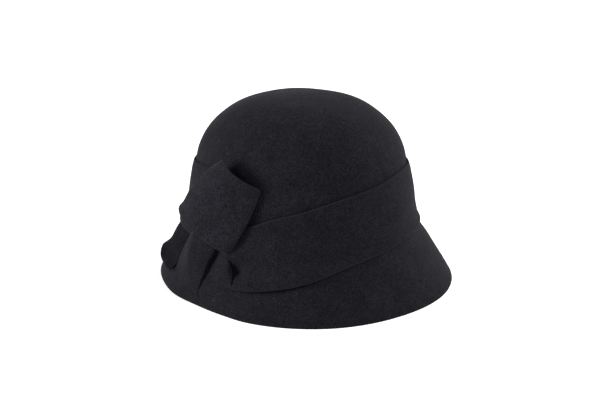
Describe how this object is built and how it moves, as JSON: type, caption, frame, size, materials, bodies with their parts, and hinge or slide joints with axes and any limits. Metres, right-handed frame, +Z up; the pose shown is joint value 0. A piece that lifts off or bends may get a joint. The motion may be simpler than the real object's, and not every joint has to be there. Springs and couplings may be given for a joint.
{
  "type": "cloche hat",
  "caption": "Wool-felt cloche with a rounded crown and a downturned brim, a wide slanting felt band, a folded knot at the side and pleats drawn up under it.",
  "frame": {"origin": "The middle of the hat's box at the bottom, in the plane of the rim that it stands on.", "axes": "+Z up along the crown, -Y towards the front of the hat, where the brim reaches furthest, +X towards the wearer's left. The knot is on the wearer's right, near -X."},
  "size_m": [0.2314, 0.2452, 0.1532],
  "materials": {
    "body_felt": "black wool felt, short even nap, soft sheen at the edges",
    "band_felt": "black wool felt strip, cut edges left raw",
    "knot_felt": "black wool felt strip, folded, cut edges left raw"
  },
  "bodies": {
    "root": {"hat_body": "body_felt", "band": "band_felt", "knot": "knot_felt", "tail": "band_felt"}
  },
  "joints": []
}
